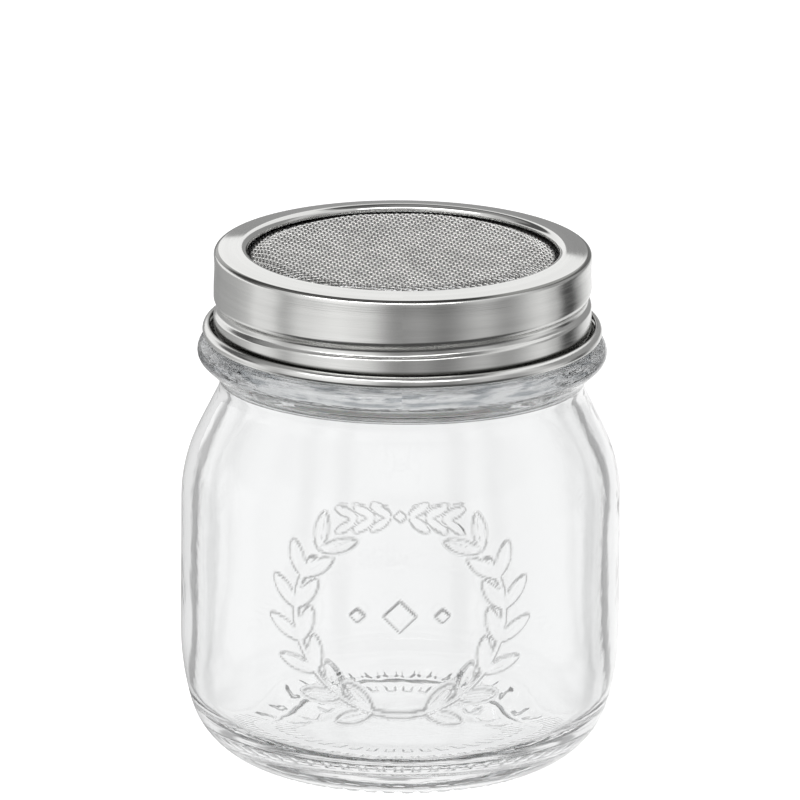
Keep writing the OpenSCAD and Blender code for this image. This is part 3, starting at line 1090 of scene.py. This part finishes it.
class SPICEJAR_OT_seal_ring(bpy.types.Operator):
    """Build the soft seal between the clamp ring and the rim"""

    bl_idname = "spicejar.seal_ring"
    bl_label = "Seal ring"

    def execute(self, context):
        settings = context.scene.spice_jar.seal
        rounding = settings.rounding / MM
        outer_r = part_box("seal_ring")[1].x / MM
        inner_r = outer_r - 3.2
        corners = [
            (outer_r - rounding, RIM_Z + rounding, -90),
            (outer_r - rounding, CLAMP_Z - rounding, 0),
            (inner_r + rounding, CLAMP_Z - rounding, 90),
            (inner_r + rounding, RIM_Z + rounding, 180),
        ]
        outline = []
        for radius, height, start in corners:
            point, steps = arc((radius, height), rounding, start, start + 90, 5)
            outline += [point(i / steps) for i in range(steps + 1)]
        points, faces = lathe(outline, 168)
        finish_mesh("soft_seal", points, faces, "seal", ["seal_ring"], seal_material(settings))
        return {"FINISHED"}


# Brightness of the studio's walls that metal sees: degrees from the front, to the right, and strength
STUDIO_WALLS = (
    (-180, 0.8), (-173, 0.4), (-160, 0.36), (-141, 0.44), (-123, 0.5), (-111, 0.6), (-101, 0.92),
    (-88, 0.9), (-77, 0.5), (-64, 0.86), (-40, 1.06), (-24, 0.92), (-3, 0.32), (10, 0.4), (25, 0.26),
    (50, 0.6), (66, 0.38), (95, 0.86), (107, 0.62), (118, 0.08), (127, 0.05), (137, 0.5), (146, 0.85),
    (160, 1.0), (172, 1.0), (180, 0.8),
)
# Brightness of the ceiling: sine of the angle above the horizon, and strength. In front, the walls' own
# brightness goes on upwards by a share, and the ceiling's is added.
CEILING_BEHIND = ((0, 0.33), (0.235, 0.33), (0.246, 1.0), (0.64, 1.0), (0.72, 0.1), (0.9, 0.1), (0.97, 0.3))
WALLS_UPWARD = ((0, 1.0), (0.1, 1.1), (0.45, 1.15), (0.58, 0.0), (1, 0.0))
CEILING_IN_FRONT = ((0, 0.0), (0.45, 0.0), (0.58, 0.85), (0.8, 0.85), (0.86, 0.1), (1, 0.3))
# Brightness that light shows after it has gone through glass: degrees aside of the way straight through
FIELD_ACROSS = ((0, 1.0), (10, 1.0), (27, 0.88), (31, 0.36), (37, 0.36), (41, 0.9), (45, 0.95))
# The same for its steepness: sine of the angle above the horizon
FIELD_UPWARD = ((-1, 1.0), (-0.95, 1.0), (-0.9, 0.6), (-0.84, 0.6), (-0.75, 1.0), (0.33, 1.0), (0.42, 0.5), (0.5, 0.5), (0.58, 0.9), (1, 1.0))


def brightness(tree, value, stops, interpolation):
    """Brightness along a value from 0 to 1, given as places and strengths."""
    ramp = add_node(tree, "ShaderNodeValToRGB")
    ramp.color_ramp.interpolation = interpolation
    elements = ramp.color_ramp.elements
    for i, (place, strength) in enumerate(stops):
        if i in (0, len(stops) - 1):
            element = elements[0 if i == 0 else -1]
            element.position = place
        else:
            element = elements.new(place)
        element.color = (strength, strength, strength, 1)
    feed(tree, ramp.inputs[0], value)
    return ramp.outputs[0]


def studio_world():
    """A world that is white to the camera, and that metal and glass see as a studio.

    Metal sees pale and grey walls. Glass is lit in the bright field way: straight through it the
    studio is white, and where it bends light further aside, it shows grey.
    """
    world = bpy.data.worlds.new("studio")
    bpy.context.scene.world = world
    world.use_nodes = True
    tree = world.node_tree
    tree.nodes.clear()
    place = add_node(tree, "ShaderNodeTexCoord")
    parts = add_node(tree, "ShaderNodeSeparateXYZ")
    tree.links.new(place.outputs["Generated"], parts.inputs[0])
    x, y, z = parts.outputs
    turn = calc(tree, "DIVIDE", calc(tree, "ARCTAN2", x, calc(tree, "MULTIPLY", y, -1.0)), TAU)
    walls = brightness(tree, calc(tree, "ADD", turn, 0.5),
                       [((degrees + 180) / 360, strength) for degrees, strength in STUDIO_WALLS], "EASE")
    slanted = calc(tree, "SUBTRACT", z, calc(tree, "MULTIPLY", x, 0.52))
    behind = calc(tree, "MULTIPLY", brightness(tree, slanted, CEILING_BEHIND, "LINEAR"), 1.06)
    low = calc(tree, "MULTIPLY", walls, brightness(tree, z, WALLS_UPWARD, "LINEAR"))
    in_front = calc(tree, "ADD", low, brightness(tree, z, CEILING_IN_FRONT, "LINEAR"))
    ceiling = mix_values(tree, ease(tree, y, -0.25, 0.25), in_front, behind)
    upper = mix_values(tree, ease(tree, z, -0.12, -0.02), walls, ceiling)
    ground = ease(tree, y, -0.1, 0.3, 0.08, 1.0)
    studio = mix_values(tree, ease(tree, z, -0.6, -0.35), ground, upper)

    sector = calc(tree, "FRACT", calc(tree, "ADD", calc(tree, "MULTIPLY", turn, 4), 0.5))
    aside = calc(tree, "ABSOLUTE", calc(tree, "SUBTRACT", sector, 0.5))
    across = brightness(tree, calc(tree, "MULTIPLY", aside, 2),
                        [(degrees / 45, strength) for degrees, strength in FIELD_ACROSS], "LINEAR")
    upward = brightness(tree, calc(tree, "ADD", calc(tree, "MULTIPLY", z, 0.5), 0.5),
                        [((sine + 1) / 2, strength) for sine, strength in FIELD_UPWARD], "LINEAR")
    steep = ease(tree, calc(tree, "ABSOLUTE", z), 0.6, 0.9)
    field = calc(tree, "MULTIPLY", mix_values(tree, steep, across, 1.0), upward)

    path = add_node(tree, "ShaderNodeLightPath")
    seen = mix_values(tree, path.outputs["Is Transmission Ray"], studio, field)
    shown = mix_values(tree, path.outputs["Is Camera Ray"], seen, 1.0)
    background = add_node(tree, "ShaderNodeBackground")
    output = add_node(tree, "ShaderNodeOutputWorld")
    tree.links.new(shown, background.inputs["Color"])
    tree.links.new(background.outputs[0], output.inputs[0])


def floor_material(colour):
    """A pale floor that keeps the jar's shadow and isn't there when it is seen from below."""
    material, tree, shader, output = new_material("pale_floor")
    shader.inputs["Base Color"].default_value = (*colour, 1)
    shader.inputs["Roughness"].default_value = 0.9
    shader.inputs["Specular IOR Level"].default_value = 0
    shader.inputs["Emission Color"].default_value = (1, 1, 1, 1)
    path = add_node(tree, "ShaderNodeLightPath")
    lift = calc(tree, "MULTIPLY", path.outputs["Is Camera Ray"], 0.56)
    tree.links.new(lift, shader.inputs["Emission Strength"])
    side = add_node(tree, "ShaderNodeNewGeometry")
    clear = add_node(tree, "ShaderNodeBsdfTransparent")
    mix = add_node(tree, "ShaderNodeMixShader")
    tree.links.new(side.outputs["Backfacing"], mix.inputs[0])
    tree.links.new(shader.outputs[0], mix.inputs[1])
    tree.links.new(clear.outputs[0], mix.inputs[2])
    tree.links.new(mix.outputs[0], output.inputs["Surface"])
    return material


class SPICEJAR_OT_stage(bpy.types.Operator):
    """Set the floor, the studio light and the camera"""

    bl_idname = "spicejar.stage"
    bl_label = "Stage"

    def execute(self, context):
        settings = context.scene.spice_jar.stage
        self.make_floor(settings)
        studio_world()
        self.make_lamps(settings)
        self.make_camera(settings)
        context.scene.view_settings.view_transform = "Standard"
        self.let_light_through(context.scene.cycles)
        return {"FINISHED"}

    def let_light_through(self, cycles):
        """Follow light through all the walls of the heel and the base, which would turn black otherwise."""
        cycles.max_bounces = 48
        cycles.transmission_bounces = 48
        cycles.transparent_max_bounces = 48
        cycles.glossy_bounces = 24

    def make_floor(self, settings):
        """A wide plane just under the foot. Metal and glass look past it at the studio."""
        half = 1.5
        drop = -0.0001
        mesh = bpy.data.meshes.new("floor")
        mesh.from_pydata([(-half, -half, drop), (half, -half, drop), (half, half, drop), (-half, half, drop)],
                         [], [(0, 1, 2, 3)])
        mesh.materials.append(floor_material(settings.floor))
        floor = bpy.data.objects.new("floor", mesh)
        bpy.context.scene.collection.objects.link(floor)
        floor.visible_glossy = False
        floor.visible_transmission = False

    def make_lamps(self, settings):
        """A soft lamp above and to the left for the floor, and a wide strip in front that metal and glass show."""
        above = self.make_lamp("soft_lamp", (0.62, 0.62), settings.lamp_power, (-0.45, -0.25, 1.2))
        above.visible_glossy = False
        strip = self.make_lamp("strip_lamp", (2, 0.3), settings.strip_power, (-0.2, -0.8, 1.05))
        strip.visible_diffuse = False
        strip.visible_transmission = False

    def make_lamp(self, name, sides, power, place):
        """A rectangular lamp that points at the jar's foot."""
        data = bpy.data.lights.new(name, "AREA")
        data.shape = "RECTANGLE"
        data.size, data.size_y = sides
        data.energy = power
        lamp = bpy.data.objects.new(name, data)
        bpy.context.scene.collection.objects.link(lamp)
        lamp.location = place
        lamp.rotation_euler = (-lamp.location).to_track_quat("-Z", "Y").to_euler()
        return lamp

    def make_camera(self, settings):
        """A long lens that looks a little down at the jar from the front."""
        data = bpy.data.cameras.new("camera")
        data.sensor_width = 36
        data.lens = settings.lens
        data.clip_end = 20
        camera = bpy.data.objects.new("camera", data)
        bpy.context.scene.collection.objects.link(camera)
        middle = Vector((settings.aside, 0, 49.66 * MM))
        aim = Vector((settings.aside, 0, 69.1 * MM))
        back = Vector((0, -math.cos(settings.elevation), math.sin(settings.elevation)))
        camera.location = middle + back * settings.distance
        camera.rotation_euler = (aim - camera.location).to_track_quat("-Z", "Y").to_euler()
        camera.rotation_euler.rotate_axis("Z", settings.roll)
        bpy.context.scene.camera = camera


BUILD_ORDER = (
    SPICEJAR_OT_glass_jar,
    SPICEJAR_OT_seal_ring,
    SPICEJAR_OT_clamp_ring,
    SPICEJAR_OT_wire_cloth,
    SPICEJAR_OT_lid_shell,
    SPICEJAR_OT_stage,
)


class SPICEJAR_PT_panel(bpy.types.Panel):
    """Lists the jar's settings and the steps that build it"""

    bl_idname = "SPICEJAR_PT_panel"
    bl_label = "Spice jar"
    bl_space_type = "VIEW_3D"
    bl_region_type = "UI"
    bl_category = "Spice jar"

    def draw(self, context):
        settings = context.scene.spice_jar
        for group in (settings.glass, settings.lid, settings.cloth, settings.seal, settings.stage):
            box = self.layout.box()
            box.label(text=group.bl_rna.name)
            for name in group.bl_rna.properties.keys():
                if name not in ("rna_type", "name"):
                    box.prop(group, name)
        for operator in BUILD_ORDER:
            self.layout.operator(operator.bl_idname)


CLASSES = (
    GlassSettings,
    LidSettings,
    ClothSettings,
    SealSettings,
    StageSettings,
    SpiceJarSettings,
    *BUILD_ORDER,
    SPICEJAR_PT_panel,
)


def register():
    """Register the classes and the scene's settings."""
    for item in CLASSES:
        bpy.utils.register_class(item)
    bpy.types.Scene.spice_jar = PointerProperty(type=SpiceJarSettings)


def unregister():
    """Remove the settings and the classes again."""
    del bpy.types.Scene.spice_jar
    for item in reversed(CLASSES):
        bpy.utils.unregister_class(item)


def main():
    """Build every piece and the stage."""
    register()
    bpy.ops.spicejar.glass_jar()
    bpy.ops.spicejar.seal_ring()
    bpy.ops.spicejar.clamp_ring()
    bpy.ops.spicejar.wire_cloth()
    bpy.ops.spicejar.lid_shell()
    bpy.ops.spicejar.stage()


if __name__ == "__main__":
    main()
